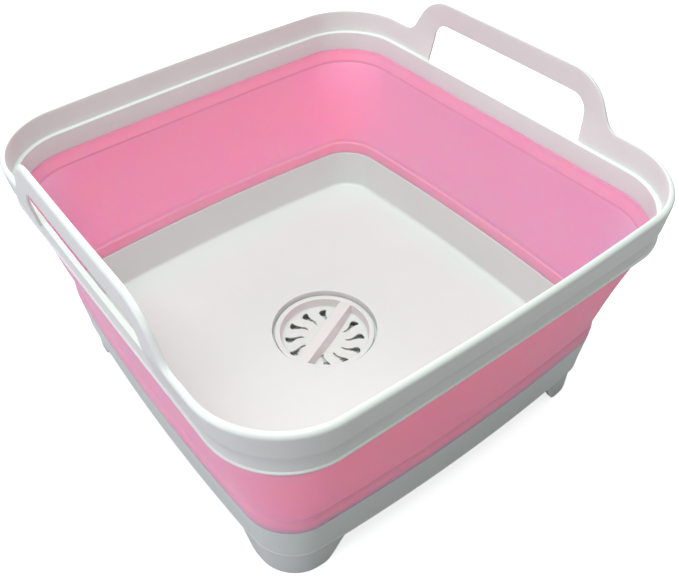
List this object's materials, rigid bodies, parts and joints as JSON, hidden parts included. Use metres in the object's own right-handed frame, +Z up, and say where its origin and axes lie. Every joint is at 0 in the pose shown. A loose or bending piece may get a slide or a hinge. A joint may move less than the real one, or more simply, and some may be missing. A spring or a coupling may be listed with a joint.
{
  "type": "collapsible wash basin",
  "caption": "Square folding wash basin: rigid rim with looped handles, soft fold-down wall, footed base tray, and a drain with stopper and lift-out strainer.",
  "frame": {"origin": "on the table, under the middle of the basin", "axes": "+X across the plain sides, +Y from handle to handle, +Z up"},
  "size_m": [0.3096, 0.3016, 0.1975],
  "materials": {
    "white_polypropylene": "satin injection-moulded white plastic",
    "pink_elastomer": "satin soft elastomer, rose pink",
    "milky_silicone": "smooth milky silicone",
    "stainless_steel": "plain stainless spring steel"
  },
  "bodies": {
    "base": {"base_tray": "white_polypropylene", "wall_lower_cuff": "pink_elastomer", "outlet_seat": "white_polypropylene", "outlet_gasket": "milky_silicone", "wall_fold_panel": "pink_elastomer"},
    "rim": {"rim_frame": "white_polypropylene", "wall_upper_cuff": "pink_elastomer"},
    "stopper": {"stopper_stem": "white_polypropylene", "stopper_disc": "white_polypropylene", "stopper_seal": "milky_silicone", "stem_clip": "stainless_steel"},
    "basket": {"strainer_basket": "white_polypropylene"}
  },
  "joints": [
    {"name": "collapse", "type": "slide", "parent": "base", "child": "rim", "axis": [0, 0, -1], "range_m": [0, 0.127], "deforming": ["wall_fold_panel"]},
    {"name": "drain_lift", "type": "slide", "parent": "base", "child": "stopper", "axis": [0, 0, 1], "range_m": [0, 0.006]},
    {"name": "basket_turn", "type": "hinge", "parent": "stopper", "child": "basket", "pos_m": [0, 0, 0.0141], "axis": [0, 0, 1], "range_deg": [-180, 180]}
  ]
}
